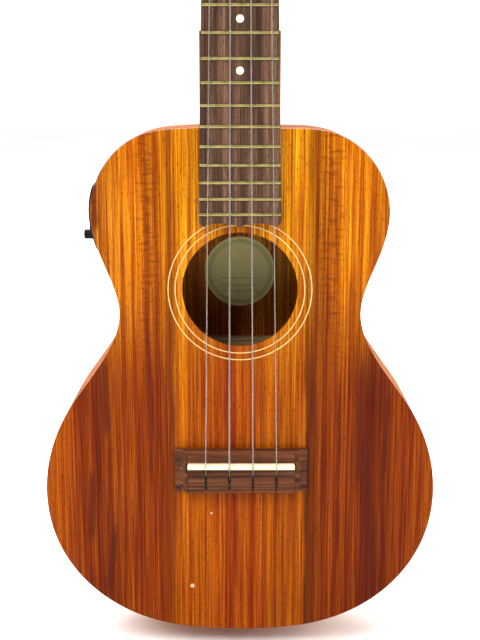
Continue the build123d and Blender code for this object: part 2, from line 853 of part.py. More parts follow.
with BuildPart() as tuner_plates:
    for x, y in post_spots:
        with BuildSketch(head_plane(x, y + plate_shift, wood_back)):
            RectangleRounded(plate_width, plate_length, 3.0)
        extrude(amount=-plate_thick)
        for side in (-1, 1):
            lug_x = x + side * (lug_inner + lug_thick / 2)
            with BuildSketch(head_plane(lug_x, y + worm_side * mesh_distance, plate_back)):
                Rectangle(lug_thick, lug_width)
            extrude(amount=-(gear_depth_below_face + plate_back + lug_width / 2))
    for x, y in post_spots:
        with BuildSketch(worm_plane(x, y)):
            Circle(worm_shaft_radius + running_gap)
        extrude(amount=lug_inner + lug_thick + 1, both=True, mode=Mode.SUBTRACT)
        with BuildSketch(head_plane(x, y, wood_back)):
            Circle(post_radius + running_gap)
        extrude(amount=-plate_thick, mode=Mode.SUBTRACT)
        for shift in plate_screw_shifts:
            with BuildSketch(head_plane(x, y + shift, wood_back)):
                Circle(screw_shank)
            extrude(amount=-plate_thick, mode=Mode.SUBTRACT)
finish_piece(tuner_plates, "tuner_plates")

with BuildPart() as tuner_bushings:
    for x, y in post_spots:
        with BuildSketch(head_plane(x, y, -bushing_length)):
            Circle(bushing_radius)
        extrude(amount=bushing_length)
        with BuildSketch(head_plane(x, y, 0)):
            Circle(bushing_flange)
        extrude(amount=bushing_flange_thick)
        with BuildSketch(head_plane(x, y, -bushing_length)):
            Circle(post_radius + running_gap)
        extrude(amount=bushing_length + bushing_flange_thick, mode=Mode.SUBTRACT)
finish_piece(tuner_bushings, "tuner_bushings")

waist_low = 4.6
waist_high = 5.2 + max(string_diameters) * winding_turns
for index, (x, y) in enumerate(post_spots):
    number = index + 1
    side = -1 if x < 0 else 1
    size = string_diameters[index]

    with BuildPart() as post:
        with BuildSketch(head_plane(x, y, gear_top)):
            Circle(post_radius)
        extrude(amount=post_height - gear_top)
        tip_edge = post.edges().filter_by(GeomType.CIRCLE).sort_by(Axis.Z)[-1]
        fillet(tip_edge, 0.8)
        with BuildSketch(head_plane(x, y, waist_low)):
            Circle(post_radius + 1)
            Circle(post_waist_radius, mode=Mode.SUBTRACT)
        extrude(amount=waist_high - waist_low, mode=Mode.SUBTRACT)
        with BuildSketch(head_plane(x, y, gear_top - gear_width)):
            Circle(gear_bore)
        extrude(amount=gear_width)
        hole_middle = head_face.from_local_coords(Vector(x, y, waist_high + 1.2))
        with BuildSketch(Plane(origin=hole_middle, z_dir=(1, 0, 0))):
            Circle(0.6)
        extrude(amount=post_radius + 1, both=True, mode=Mode.SUBTRACT)
    finish_piece(post, f"tuner_post_{number}")

    with BuildPart() as winding:
        turn_pitch = 0.94 * size
        for turn in range(winding_turns):
            with Locations(head_plane(x, y, 5.0 + size / 2 + turn * turn_pitch).location):
                Torus(post_waist_radius + size / 2, size / 2)
        with BuildSketch(head_plane(x, y, 5.0 + size / 2)):
            Circle(post_waist_radius + 0.4 * size)
            Circle(post_waist_radius, mode=Mode.SUBTRACT)
        extrude(amount=(winding_turns - 1) * turn_pitch)
    finish_piece(winding, f"string_winding_{number}")

    with BuildPart() as gear:
        with BuildSketch(head_plane(x, y, gear_top)):
            Circle(gear_root)
            first_tooth = worm_side * 90 + 180 / gear_teeth
            with PolarLocations(0, gear_teeth, start_angle=first_tooth):
                Polygon(
                    (gear_root - 0.3, -0.6), (gear_radius, -0.34), (gear_tip, -0.17),
                    (gear_tip, 0.17), (gear_radius, 0.34), (gear_root - 0.3, 0.6), align=None,
                )
            Circle(gear_bore, mode=Mode.SUBTRACT)
        extrude(amount=-gear_width)
        with BuildSketch(head_plane(x, y, gear_top - gear_width)):
            Circle(gear_bore + 0.7)
        extrude(amount=-0.9)
    finish_piece(gear, f"tuner_gear_{number}")

    shaft_end = button_start + 9.0
    with BuildPart() as worm:
        with Locations(worm_plane(x, y).location):
            add(worm_shape.part)
        with BuildSketch(worm_plane(x, y).offset(-side * (lug_inner + lug_thick + 0.8))):
            Circle(worm_shaft_radius)
        extrude(amount=side * (lug_inner + lug_thick + 0.8 + shaft_end))
    finish_piece(worm, f"tuner_worm_{number}")

    button_face = Plane(
        origin=head_face.from_local_coords(
            Vector(x, y + worm_side * mesh_distance, -gear_depth_below_face)
        ),
        x_dir=(side, 0, 0),
        z_dir=head_face.z_dir,
    )
    with BuildPart() as button:
        with BuildSketch(button_face.offset(-button_thick / 2)):
            with Locations((button_start + button_length / 2 + 2.5, 0)):
                Ellipse(button_length / 2, button_width / 2)
        extrude(amount=button_thick)
        fillet(button.edges(), button_thick * 0.38)
        with BuildSketch(worm_plane(x, y).offset(side * button_start)):
            Circle(2.6)
        extrude(amount=side * 5.0)
        with BuildSketch(worm_plane(x, y).offset(side * button_start)):
            Circle(worm_shaft_radius)
        extrude(amount=side * (shaft_end - button_start), mode=Mode.SUBTRACT)
    finish_piece(button, f"tuner_button_{number}")

# ---------------------------------------------------------------- preamp
bezel_reach = upper_bout / 2 + 20
bezel_solid = body_prism(-bezel_thick, soundboard_thick, deep)
housing_end_x = -upper_bout / 2 + side_thick + housing_depth
display_spot = preamp_point(0, display_row)
drawer_spot = preamp_point(0, 0)
knob_spots = [preamp_point(-knob_spread / 2, -knob_row), preamp_point(knob_spread / 2, -knob_row)]
push_spot = preamp_point(0, -knob_row)

with BuildPart() as preamp_bezel:
    with BuildSketch(preamp_face.offset(-housing_end_x)):
        RectangleRounded(bezel_width, bezel_length, bezel_corner)
    extrude(amount=bezel_reach)
    add(bezel_solid, mode=Mode.INTERSECT)
    add(body_solid, mode=Mode.SUBTRACT)
    with BuildSketch(preamp_face):
        with Locations(display_spot):
            Rectangle(display_width, display_length)
        with Locations(drawer_spot):
            Rectangle(drawer_width + 2 * drawer_gap, drawer_height + 2 * drawer_gap)
        with Locations(*knob_spots):
            Circle(knob_shaft + running_gap)
        with Locations(push_spot):
            Circle(push_radius + 0.1)
        with Locations(*preamp_screws):
            Circle(screw_shank)
    extrude(amount=bezel_reach, mode=Mode.SUBTRACT)
    for spot, seat in preamp_seats:
        with BuildSketch(seat):
            with Locations(spot):
                Circle(screw_head + 0.1)
        extrude(amount=bezel_thick + 2, mode=Mode.SUBTRACT)
finish_piece(preamp_bezel, "preamp_bezel")

shelf_top = preamp_z - drawer_height / 2 + 0.4 - drawer_gap
with BuildPart() as preamp_housing:
    with BuildSketch(preamp_face.offset(-housing_end_x)):
        RectangleRounded(housing_width, housing_length, 2.0)
    extrude(amount=bezel_reach)
    add(body_solid, mode=Mode.INTERSECT)
    with BuildSketch(preamp_face.offset(-housing_end_x + housing_wall)):
        Rectangle(housing_width - 2 * housing_wall, housing_length - 2 * housing_wall)
    extrude(amount=bezel_reach, mode=Mode.SUBTRACT)
    with BuildSketch(Plane.XY.offset(shelf_top)):
        with Locations((housing_end_x - housing_wall - 10, bezel_middle_depth)):
            Rectangle(20, housing_width - housing_wall)
    extrude(amount=-0.8)
finish_piece(preamp_housing, "preamp_housing")

cell_x = -(upper_bout / 2) + 11.5
tray_top = preamp_z + drawer_height / 2 - 0.8
tray_floor = preamp_z - drawer_height / 2 + 0.4
drawer_front_x = -(upper_bout / 2 + bezel_thick)
with BuildPart() as battery_drawer:
    with BuildSketch(preamp_face.offset(-drawer_front_x - 1.4)):
        with Locations(drawer_spot):
            Rectangle(drawer_width, drawer_height)
    extrude(amount=1.4)
    with BuildSketch(preamp_face.offset(-drawer_front_x)):
        with Locations(preamp_point(0, drawer_height / 2 - 0.8)):
            Rectangle(drawer_width * 0.6, 1.0)
    extrude(amount=0.8)
    with BuildSketch(Plane.XY.offset(tray_floor)):
        with Locations((drawer_front_x + 1.4 + 11.2, bezel_middle_depth)):
            Rectangle(22.4, 2 * cell_radius + 2.0)
    extrude(amount=tray_top - tray_floor)
    with BuildSketch(Plane.XY.offset(tray_floor + 0.9)):
        with Locations((cell_x, bezel_middle_depth)):
            Circle(cell_radius + 0.1)
    extrude(amount=drawer_height, mode=Mode.SUBTRACT)
finish_piece(battery_drawer, "battery_drawer")

with BuildPart() as battery:
    with BuildSketch(Plane.XY.offset(tray_floor + 0.9)):
        with Locations((cell_x, bezel_middle_depth)):
            Circle(cell_radius)
    extrude(amount=cell_thick)
    chamfer(battery.edges().group_by(Axis.Z)[-1], 0.5)
finish_piece(battery, "battery")

board_x = -(upper_bout / 2) + 12.0
pot_front_x = -(upper_bout / 2) + 4.0
push_flange_x = -(upper_bout / 2) + 3.2
push_flange_thick = 0.8
switch_front_x = push_flange_x + push_flange_thick + push_travel + 0.4
board_thick_pcb = 1.6
floor_z = preamp_z - housing_length / 2 + housing_wall
knob_base_x = -(upper_bout / 2) - 1.1
knob_tip_x = knob_base_x - knob_length + 0.6
with BuildPart() as preamp_board:
    with BuildSketch(preamp_face.offset(-board_x - board_thick_pcb)):
        with Locations(preamp_point(0, floor_z - preamp_z + 5.0)):
            Rectangle(housing_width - 2 * housing_wall - 1, 10.0)
    extrude(amount=board_thick_pcb)
    with BuildSketch(preamp_face.offset(-board_x)):
        with Locations(*knob_spots):
            Circle(4.2)
    extrude(amount=board_x - pot_front_x)
    with BuildSketch(preamp_face.offset(-board_x)):
        with Locations(push_spot):
            Rectangle(5, 5)
    extrude(amount=board_x - switch_front_x)
    with BuildSketch(preamp_face.offset(-board_x)):
        with Locations(*knob_spots):
            Circle(knob_shaft + running_gap)
    extrude(amount=board_x - pot_front_x, mode=Mode.SUBTRACT)
finish_piece(preamp_board, "preamp_board")

with BuildPart() as preamp_display:
    with BuildSketch(preamp_face.offset(upper_bout / 2 - 2.6)):
        with Locations(display_spot):
            Rectangle(display_width, display_length)
    extrude(amount=2.6)
finish_piece(preamp_display, "preamp_display")

for spot, name in zip(knob_spots, ("volume", "tone")):
    with BuildPart() as knob:
        with BuildSketch(preamp_face.offset(-knob_base_x)):
            with Locations(spot):
                Circle(knob_radius)
        extrude(amount=knob_base_x - knob_tip_x)
        fillet(knob.edges().sort_by(Axis.X)[0], 0.7)
        with BuildSketch(preamp_face.offset(-knob_tip_x)):
            with Locations((spot[0], spot[1] - knob_radius / 2)):
                Rectangle(0.6, knob_radius)
        extrude(amount=-0.5, mode=Mode.SUBTRACT)
        with BuildSketch(preamp_face.offset(-knob_base_x)):
            with Locations(spot):
                Circle(knob_shaft)
        extrude(amount=-(pot_front_x + 4.0 - knob_base_x))
    finish_piece(knob, f"preamp_knob_{name}")

with BuildPart() as preamp_button:
    with BuildSketch(preamp_face.offset(-push_flange_x)):
        with Locations(push_spot):
            Circle(push_radius)
    extrude(amount=push_flange_x + upper_bout / 2 + 1.6)
    with BuildSketch(preamp_face.offset(-push_flange_x)):
        with Locations(push_spot):
            Circle(push_radius + 0.8)
    extrude(amount=-push_flange_thick)
finish_piece(preamp_button, "preamp_button")

# ---------------------------------------------------------------- endpin jack and screws
with BuildPart() as jack_socket:
    with BuildSketch(jack_plane.offset(-strap_button_length)):
        Circle(jack_stem)
    extrude(amount=strap_button_length)
    with BuildSketch(jack_plane):
        Circle(jack_barrel)
    extrude(amount=tail_block_length + side_thick)
    with BuildSketch(jack_plane.offset(tail_block_length + side_thick)):
        Circle(jack_barrel + 2.0)
    extrude(amount=18.0)
    with BuildSketch(jack_plane.offset(-strap_button_length)):
        Circle(plug_bore)
    extrude(amount=jack_bore_length, mode=Mode.SUBTRACT)
finish_piece(jack_socket, "jack_socket")

with BuildPart() as strap_button:
    with BuildSketch(jack_plane.offset(-2.0)):
        Circle(strap_button_radius)
    extrude(amount=2.0)
    with BuildSketch(jack_plane.offset(-strap_button_length + 3.0)):
        Circle(strap_groove_radius)
    extrude(amount=strap_button_length - 5.0)
    with BuildSketch(jack_plane.offset(-strap_button_length)):
        Circle(strap_button_radius - 0.8)
    extrude(amount=3.0)
    chamfer(strap_button.edges().filter_by(GeomType.CIRCLE).sort_by(Axis.Z)[0], 0.8)
    with BuildSketch(jack_plane.offset(-strap_button_length)):
        Circle(jack_stem)
    extrude(amount=strap_button_length, mode=Mode.SUBTRACT)
finish_piece(strap_button, "strap_button")

screw_planes = []
for x, y in post_spots:
    for shift in plate_screw_shifts:
        seat = head_plane(x, y + shift, plate_back)
        screw_planes.append(Plane(origin=seat.origin, x_dir=(1, 0, 0), z_dir=-head_face.z_dir))
with BuildPart() as wood_screws:
    for seat in screw_planes:
        with BuildSketch(seat):
            Circle(screw_shank)
        extrude(amount=-tuner_screw_length)
        with BuildSketch(seat):
            Circle(screw_head)
        extrude(amount=screw_head_thick)
        with BuildSketch(seat.offset(screw_head_thick)):
            Rectangle(recess_width, 2.2)
            Rectangle(2.2, recess_width)
        extrude(amount=-0.55, mode=Mode.SUBTRACT)
    for spot, seat in preamp_seats:
        with BuildSketch(seat):
            with Locations(spot):
                Circle(screw_shank)
        extrude(amount=-preamp_screw_length)
        with BuildSketch(seat):
            with Locations(spot):
                Circle(screw_head)
        extrude(amount=screw_head_thick)
        with BuildSketch(seat.offset(screw_head_thick)):
            with Locations(spot):
                Rectangle(recess_width, 2.2)
                Rectangle(2.2, recess_width)
        extrude(amount=-0.55, mode=Mode.SUBTRACT)
finish_piece(wood_screws, "wood_screws")
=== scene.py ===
"""Looks of a tenor ukulele: koa body, rosewood fretboard and bridge, bone, nylon and plated tuners."""
import math

import bmesh
import bpy
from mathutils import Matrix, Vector


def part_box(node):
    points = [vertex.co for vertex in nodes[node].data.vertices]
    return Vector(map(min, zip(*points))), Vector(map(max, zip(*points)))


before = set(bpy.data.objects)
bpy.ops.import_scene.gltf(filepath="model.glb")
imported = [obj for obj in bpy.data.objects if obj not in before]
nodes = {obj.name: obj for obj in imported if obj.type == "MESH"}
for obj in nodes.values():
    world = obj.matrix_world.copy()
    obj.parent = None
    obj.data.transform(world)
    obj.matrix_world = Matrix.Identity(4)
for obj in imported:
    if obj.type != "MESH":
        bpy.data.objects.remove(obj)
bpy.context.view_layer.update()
MM = 0.001

# ------------------------------------------------------------------ small helpers


def linear(hex_colour):
    """An sRGB hex colour as linear red, green, blue and alpha."""
    parts = [int(hex_colour[i:i + 2], 16) / 255 for i in (1, 3, 5)]
    return tuple(c / 12.92 if c <= 0.04045 else ((c + 0.055) / 1.055) ** 2.4 for c in parts) + (1.0,)


def node(tree, kind, inputs=(), **settings):
    """Add a node, with its settings, and its inputs as values or links."""
    made = tree.nodes.new(kind)
    for name, value in settings.items():
        setattr(made, name, value)
    for slot, value in dict(inputs).items():
        if isinstance(value, bpy.types.NodeSocket):
            tree.links.new(value, made.inputs[slot])
        else:
            made.inputs[slot].default_value = value
    return made


def new_material(name, roughness=0.5, metallic=0.0, ior=1.5, specular=0.5, coat=0.0, coat_roughness=0.1):
    """A material with one shader, and the coordinates of the object it is on."""
    material = bpy.data.materials.new(name)
    material.use_nodes = True
    tree = material.node_tree
    shader = tree.nodes["Principled BSDF"]
    shader.inputs["Roughness"].default_value = roughness
    shader.inputs["Metallic"].default_value = metallic
    if metallic < 0.5:
        shader.inputs["IOR"].default_value = ior
    shader.inputs["Specular IOR Level"].default_value = specular
    shader.inputs["Coat Weight"].default_value = coat
    shader.inputs["Coat Roughness"].default_value = coat_roughness
    place = node(tree, "ShaderNodeTexCoord").outputs["Object"]
    return material, tree, shader, place


def ramp(tree, value, stops, blend="LINEAR"):
    """A colour ramp of (place, hex colour) stops."""
    made = node(tree, "ShaderNodeValToRGB", {0: value})
    made.color_ramp.interpolation = blend
    elements = made.color_ramp.elements
    while len(elements) < len(stops):
        elements.new(0.5)
    for element, (place, colour) in zip(elements, sorted(stops)):
        element.position = place
        element.color = linear(colour)
    return made.outputs["Color"]


def grain(tree, place, sizes, detail=2.0, rough=0.5, distortion=0.0, shift=(0, 0, 0)):
    """Noise whose patches measure sizes, in millimetres, along X, Y and Z."""
    scale = [1 / (size * MM) for size in sizes]
    mapped = node(tree, "ShaderNodeMapping", {"Vector": place, "Scale": scale, "Location": shift})
    noise = node(
        tree, "ShaderNodeTexNoise",
        {"Vector": mapped.outputs[0], "Scale": 1.0, "Detail": detail, "Roughness": rough,
         "Distortion": distortion},
    )
    return noise.outputs["Fac"]


def band(tree, value, low, high, out_low=0.0, out_high=1.0, kind="SMOOTHSTEP"):
    """Map a value between two levels, smoothly and clamped."""
    made = node(
        tree, "ShaderNodeMapRange",
        {"Value": value, "From Min": low, "From Max": high, "To Min": out_low, "To Max": out_high},
        interpolation_type=kind,
    )
    return made.outputs["Result"]


def tint(tree, share, below, above, way="MIX"):
    """Mix two colours; a share or a colour can be a value or a link."""
    made = node(tree, "ShaderNodeMix", {0: share, 6: below, 7: above}, data_type="RGBA", blend_type=way)
    return made.outputs[2]


def bump(tree, shader, height, depth, strength=1.0):
    """Raise the surface by height, whose full step is depth in millimetres."""
    made = node(tree, "ShaderNodeBump", {"Height": height, "Distance": depth * MM, "Strength": strength})
    tree.links.new(made.outputs[0], shader.inputs["Normal"])


def calc(tree, way, first, second=0.0):
    """One step of arithmetic between two values."""
    return node(tree, "ShaderNodeMath", {0: first, 1: second}, operation=way).outputs[0]


def paint(material, *names):
    """Give CAD nodes their material."""
    for name in names:
        mesh = nodes[name].data
        mesh.materials.clear()
        mesh.materials.append(material)


# ------------------------------------------------------------------ woods

SEAM_PLANK = 38.4          # half width of the two golden planks, mm
BODY_HALF = 115.0          # half width of the widest bout, mm
# red, green and blue factors on the bare wood's colour above and below the waist; the upper bout comes out
# brighter and yellower, the lower darker and redder, partly the koa's own tone and partly painted light and
# shade for the stronger light on the upper bout
UPPER_TONE_AND_PAINTED_LIGHT = (1.35, 2.3, 1.5, 1.0)
LOWER_TONE_AND_PAINTED_SHADE = (1.45, 2.05, 0.15, 1.0)
WAIST_BLEND = (-300.0, -400.0)   # heights between which the upper colours turn into the lower ones, mm


def across_board(stops):
    """Ramp stops from (x in millimetres, colour) pairs over the body's width."""
    return [((x + BODY_HALF) / (2 * BODY_HALF), colour) for x, colour in stops]


UPPER_BANDS = across_board((
    (-86, "#D27C3A"), (-76, "#D67A30"), (-66, "#E98324"), (-58, "#E57A1B"), (-51, "#C56716"),
    (-44, "#D77614"), (-39.6, "#C16D18"), (-37.1, "#F0931D"), (-26, "#FDA02A"), (-14, "#E7891A"),
    (0, "#D27613"), (14, "#EB8F1B"), (26, "#FD9E25"), (37.1, "#F29520"), (39.6, "#B46618"),
    (45, "#C16B16"), (53, "#D06F16"), (60, "#EE871B"), (70, "#E7801A"), (80, "#CB6B1B"),
))
LOWER_BANDS = across_board((
    (-114, "#BE6420"), (-100, "#AC5016"), (-90, "#8E3A10"), (-80, "#84340E"), (-70, "#9C480C"),
    (-60, "#9C440A"), (-50, "#A44A08"), (-42, "#903F0A"), (-39.3, "#8A4010"), (-37.7, "#C46A12"),
    (-26, "#C2680E"), (-12, "#BE5E14"), (-5, "#A84808"), (1, "#B85A12"), (7, "#AE4C08"),
    (15, "#BC620C"), (26, "#B05C08"), (37.7, "#BE660C"), (39.3, "#743610"), (46, "#8C3E08"),
    (56, "#984206"), (66, "#8E3E06"), (76, "#74280A"), (84, "#782E08"), (94, "#984206"),
    (104, "#9E4808"), (114, "#AE580E"),
))
# Dark mineral streaks: middle x and z, half length, half width and lean, in millimetres.
STREAKS = (
    (-76.5, -497.0, 25.0, 2.3, 0.10),
    (-88.0, -462.0, 24.0, 1.8, 0.02),
    (-78.0, -395.0, 26.0, 2.0, 0.0),
    (-52.5, -400.0, 60.0, 0.9, 0.0),
    (76.5, -470.0, 62.0, 3.0, -0.05),
    (70.0, -410.0, 44.0, 1.9, 0.02),
    (57.5, -440.0, 60.0, 0.9, 0.0),
    (86.0, -420.0, 30.0, 1.3, 0.03),
    (-82.0, -283.0, 16.0, 2.2, 0.0),
)
# Small pale dents in the lacquer: x, z and radius, in millimetres.
DENTS = ((-28.7, -513.0, 1.5), (-17.0, -466.5, 0.7))


def koa_board(name, stripes, streaks=(), dents=()):
    """Figured koa under satin lacquer: golden middle planks, darker wings, curl and open pores."""
    material, tree, shader, place = new_material(name, roughness=0.3, specular=0.06)
    spot = node(tree, "ShaderNodeSeparateXYZ", {0: place})
    x_mm = calc(tree, "MULTIPLY", spot.outputs["X"], 1000.0)
    z_mm = calc(tree, "MULTIPLY", spot.outputs["Z"], 1000.0)
    # growth bands wander a little, so their edges are drawn out of true
    wander = grain(tree, place, (26, 40, 190), detail=3.0)
    wander_mm = band(tree, wander, 0.3, 0.7, -0.9, 0.9, "LINEAR")
    fine_wander = grain(tree, place, (2.2, 20, 26), detail=2.0)
    fine_mm = band(tree, fine_wander, 0.3, 0.7, -0.5, 0.5, "LINEAR")
    drawn = calc(tree, "ADD", calc(tree, "ADD", x_mm, wander_mm), fine_mm)
    across = band(tree, drawn, -BODY_HALF, BODY_HALF, kind="LINEAR")
    # brighter above the waist, darker below: partly the koa's own tone, partly painted light on the upper
    # bout and painted shade on the lower
    upper = tint(tree, 1.0, ramp(tree, across, stripes[0]), UPPER_TONE_AND_PAINTED_LIGHT, "MULTIPLY")
    lower = tint(tree, 1.0, ramp(tree, across, stripes[1]), LOWER_TONE_AND_PAINTED_SHADE, "MULTIPLY")
    colour = tint(tree, band(tree, z_mm, *WAIST_BLEND), upper, lower)
    # medium stripes, 1 to 4 mm wide and long as the board
    for sizes, low, high, pale, dark in (
        ((3.6, 60, 260), 0.30, 0.72, "#FFFAD6", "#C69F80"),
        ((1.1, 60, 120), 0.28, 0.74, "#FFFFFF", "#BA9072"),
        ((0.55, 60, 46), 0.30, 0.75, "#FFFFFF", "#BC9676"),
    ):
        stripe = band(tree, grain(tree, place, sizes, detail=2.5, shift=(sizes[0], 0, 3)), low, high)
        shade = ramp(tree, stripe, ((0.0, dark), (1.0, pale)))
        colour = tint(tree, 1.0, colour, shade, "MULTIPLY")
    # curl: short dark level ticks, about 2 mm apart, in one band on each side above the waist
    reach = calc(tree, "ABSOLUTE", drawn, 0.0)
    curl_band = calc(tree, "MULTIPLY", band(tree, reach, 43.0, 48.0), band(tree, reach, 61.0, 55.0))
    curl_band = calc(tree, "MULTIPLY", curl_band, band(tree, z_mm, -400.0, -340.0, 0.3, 1.0))
    curl_band = calc(tree, "MAXIMUM", curl_band, 0.12)
    curl = grain(tree, place, (8.0, 30, 2.0), detail=1.5)
    curl_dark = calc(tree, "MULTIPLY", curl_band, band(tree, curl, 0.50, 0.36))
    colour = tint(tree, calc(tree, "MULTIPLY", curl_dark, 0.5), colour, linear("#5E2A0A"))
    # cell-sized speckle, finer than the pores, keeps the golden planks from looking printed
    speckle = band(tree, grain(tree, place, (0.35, 20, 0.6), detail=1.0, shift=(1, 0, 8)), 0.3, 0.7)
    colour = tint(tree, 0.5, colour, ramp(tree, speckle, ((0.0, "#C8B4A0"), (1.0, "#FFFFFF"))), "MULTIPLY")
    for mid_x, mid_z, half_long, half_wide, lean in streaks:
        rise = calc(tree, "SUBTRACT", z_mm, mid_z)
        sideways = calc(tree, "SUBTRACT", drawn, mid_x)
        offset = calc(tree, "SUBTRACT", sideways, calc(tree, "MULTIPLY", rise, lean))
        inside = band(tree, calc(tree, "ABSOLUTE", offset), half_wide * 1.35, half_wide * 0.45)
        ends = band(tree, calc(tree, "ABSOLUTE", rise), half_long * 1.1, half_long * 0.6)
        share = calc(tree, "MULTIPLY", calc(tree, "MULTIPLY", inside, ends), 0.74)
        colour = tint(tree, share, colour, linear("#4A1608"))
    # the dark glue lines beside the middle planks
    line = band(tree, calc(tree, "ABSOLUTE", calc(tree, "SUBTRACT", reach, SEAM_PLANK + 0.4)), 1.0, 0.15)
    colour = tint(tree, calc(tree, "MULTIPLY", line, 0.45), colour, linear("#4C2408"))
    # open pores: dark flecks 0.4 mm wide and 1 to 3 mm long
    pore = grain(tree, place, (0.55, 20, 3.4), detail=1.0, shift=(5, 0, 1))
    pores = band(tree, pore, 0.40, 0.30)
    colour = tint(tree, calc(tree, "MULTIPLY", pores, 0.62), colour, linear("#3A1606"))
    for dent_x, dent_z, radius in dents:
        away = node(
            tree, "ShaderNodeVectorMath",
            {0: place, 1: (dent_x * MM, 0.0, dent_z * MM)}, operation="DISTANCE",
        ).outputs["Value"]
        share = band(tree, away, radius * 1.2 * MM, radius * 0.4 * MM, 0.0, 0.7)
        colour = tint(tree, share, colour, linear("#E8C8A0"))
    tree.links.new(colour, shader.inputs["Base Color"])
    tree.links.new(band(tree, pores, 0.0, 1.0, 0.34, 0.55, "LINEAR"), shader.inputs["Roughness"])
    bump(tree, shader, band(tree, pores, 0.0, 1.0, 1.0, 0.0, "LINEAR"), 0.05, 0.5)
    return material


def plain_wood(name, sizes, stops, roughness=0.5, pore_sizes=None, pore_colour="#1C0C06", specular=0.3,
               pore_share=0.6, fine=None):
    """Straight-grained wood: broad figure and fine stripes of the given sizes, and pores."""
    material, tree, shader, place = new_material(name, roughness=roughness, specular=specular)
    figure = grain(tree, place, sizes, detail=3.0, rough=0.55, distortion=0.3)
    colour = ramp(tree, band(tree, figure, 0.28, 0.74, kind="LINEAR"), stops)
    fine_sizes = fine or [size / 5 for size in sizes]
    stripe = band(tree, grain(tree, place, fine_sizes, detail=2.0, shift=(2, 1, 4)), 0.3, 0.7)
    shade = ramp(tree, stripe, ((0.0, "#A08878"), (1.0, "#FFFFFF")))
    colour = tint(tree, 0.8, colour, shade, "MULTIPLY")
    if pore_sizes:
        pores = band(tree, grain(tree, place, pore_sizes, detail=1.0, shift=(7, 3, 2)), 0.40, 0.30)
        colour = tint(tree, calc(tree, "MULTIPLY", pores, pore_share), colour, linear(pore_colour))
        bump(tree, shader, band(tree, pores, 0.0, 1.0, 1.0, 0.0, "LINEAR"), 0.06, 0.6)
    tree.links.new(colour, shader.inputs["Base Color"])
    return material


# top and back carry the same upper and lower colours, the painted light and shade included
koa_top = koa_board("koa_soundboard_satin_lacquer", (UPPER_BANDS, LOWER_BANDS), STREAKS, DENTS)
koa_back = koa_board("koa_back_satin_lacquer", (UPPER_BANDS, LOWER_BANDS))
# bent koa: the grain follows the rim, so the figure changes only through the depth
koa_sides = plain_wood(
    "koa_bent_sides_satin_lacquer", (90, 7, 90),
    ((0.0, "#7A3A12"), (0.35, "#A85A1C"), (0.65, "#C4742A"), (1.0, "#D88A38")),
    roughness=0.55, pore_sizes=(3.2, 0.5, 3.2), pore_colour="#3A1606", specular=0.02,
)
mahogany_neck = plain_wood(
    "mahogany_neck_satin_lacquer", (6, 6, 120),
    ((0.0, "#4A2614"), (0.5, "#6E3C20"), (1.0, "#8A5230")),
    roughness=0.38, pore_sizes=(0.5, 0.5, 4.0), pore_colour="#241008",
)
bare_mahogany = plain_wood(
    "bare_mahogany_blocks_and_linings", (5, 5, 90),
    ((0.0, "#7C5230"), (0.5, "#9A6C42"), (1.0, "#B48656")), roughness=0.7,
    pore_sizes=(0.5, 0.5, 3.0), pore_colour="#4A2E18",
)
spruce_braces = plain_wood(
    "bare_spruce_braces", (60, 1.2, 1.2),
    ((0.0, "#B0905C"), (0.5, "#C8AC78"), (1.0, "#DCC492")), roughness=0.7,
)
# oiled rosewood: brown-black stripes 1 to 6 mm apart and open pores
rosewood_board = plain_wood(
    "rosewood_fretboard_oiled", (4.2, 30, 150),
    ((0.0, "#2E1C12"), (0.35, "#503626"), (0.6, "#6A4C38"), (1.0, "#80624A")),
    roughness=0.46, pore_sizes=(0.5, 3, 4.5), specular=0.2, fine=(0.9, 8, 60),
)
rosewood_bridge = plain_wood(
    "rosewood_bridge_oiled", (150, 2.6, 2.8),
    ((0.0, "#2A140A"), (0.4, "#54301A"), (0.7, "#744224"), (1.0, "#8A542E")),
    roughness=0.45, pore_sizes=(4.5, 0.5, 0.5), specular=0.12, fine=(40, 0.8, 0.8),
)
rosewood_veneer = plain_wood(
    "rosewood_headstock_veneer_satin_lacquer", (5.5, 30, 160),
    ((0.0, "#2C1710"), (0.4, "#4E2E20"), (0.7, "#6A4430"), (1.0, "#80583E")),
    roughness=0.32, pore_sizes=(0.5, 3, 4.5), specular=0.4, fine=(1.0, 8, 70),
)
paint(koa_top, "soundboard")
paint(koa_back, "back_plate")
paint(koa_sides, "side_bass", "side_treble")
paint(mahogany_neck, "neck")
paint(bare_mahogany, "neck_block", "tail_block", "linings", "bridge_plate")
paint(spruce_braces, "top_braces", "back_braces")
paint(rosewood_board, "fretboard")
paint(rosewood_bridge, "bridge")
paint(rosewood_veneer, "headstock_veneer", "heel_cap")

# ------------------------------------------------------------------ bone, inlay, paper and nylon


def mottled(name, colours, sizes, roughness, specular=0.5, metallic=0.0, depth=0.0, coat=0.0,
            rough_swing=0.08):
    """A nearly even finish whose colour and gloss drift over patches of the given sizes."""
    material, tree, shader, place = new_material(
        name, roughness=roughness, specular=specular, metallic=metallic, coat=coat
    )
    drift = grain(tree, place, sizes, detail=3.0)
    colour = ramp(tree, band(tree, drift, 0.3, 0.7, kind="LINEAR"), ((0.0, colours[0]), (1.0, colours[1])))
    tree.links.new(colour, shader.inputs["Base Color"])
    gloss = band(tree, drift, 0.3, 0.7, roughness - rough_swing, roughness + rough_swing, "LINEAR")
    tree.links.new(gloss, shader.inputs["Roughness"])
    if depth:
        bump(tree, shader, drift, depth, 0.6)
    return material


# polished bone: warm cream with faint streaks along its length
bone = mottled("polished_bone", ("#F0E4B0", "#FFF8CC"), (14, 1.2, 1.2), 0.3, coat=0.2)
# celluloid-like inlay lines, slightly yellowed under the lacquer
inlay = mottled("cream_inlay_line", ("#C09A5A", "#D4B472"), (6, 6, 6), 0.35)
pearl = mottled("white_dot_inlay", ("#F4F2EC", "#FFFFFF"), (1.4, 1.4, 1.4), 0.25, coat=0.3)
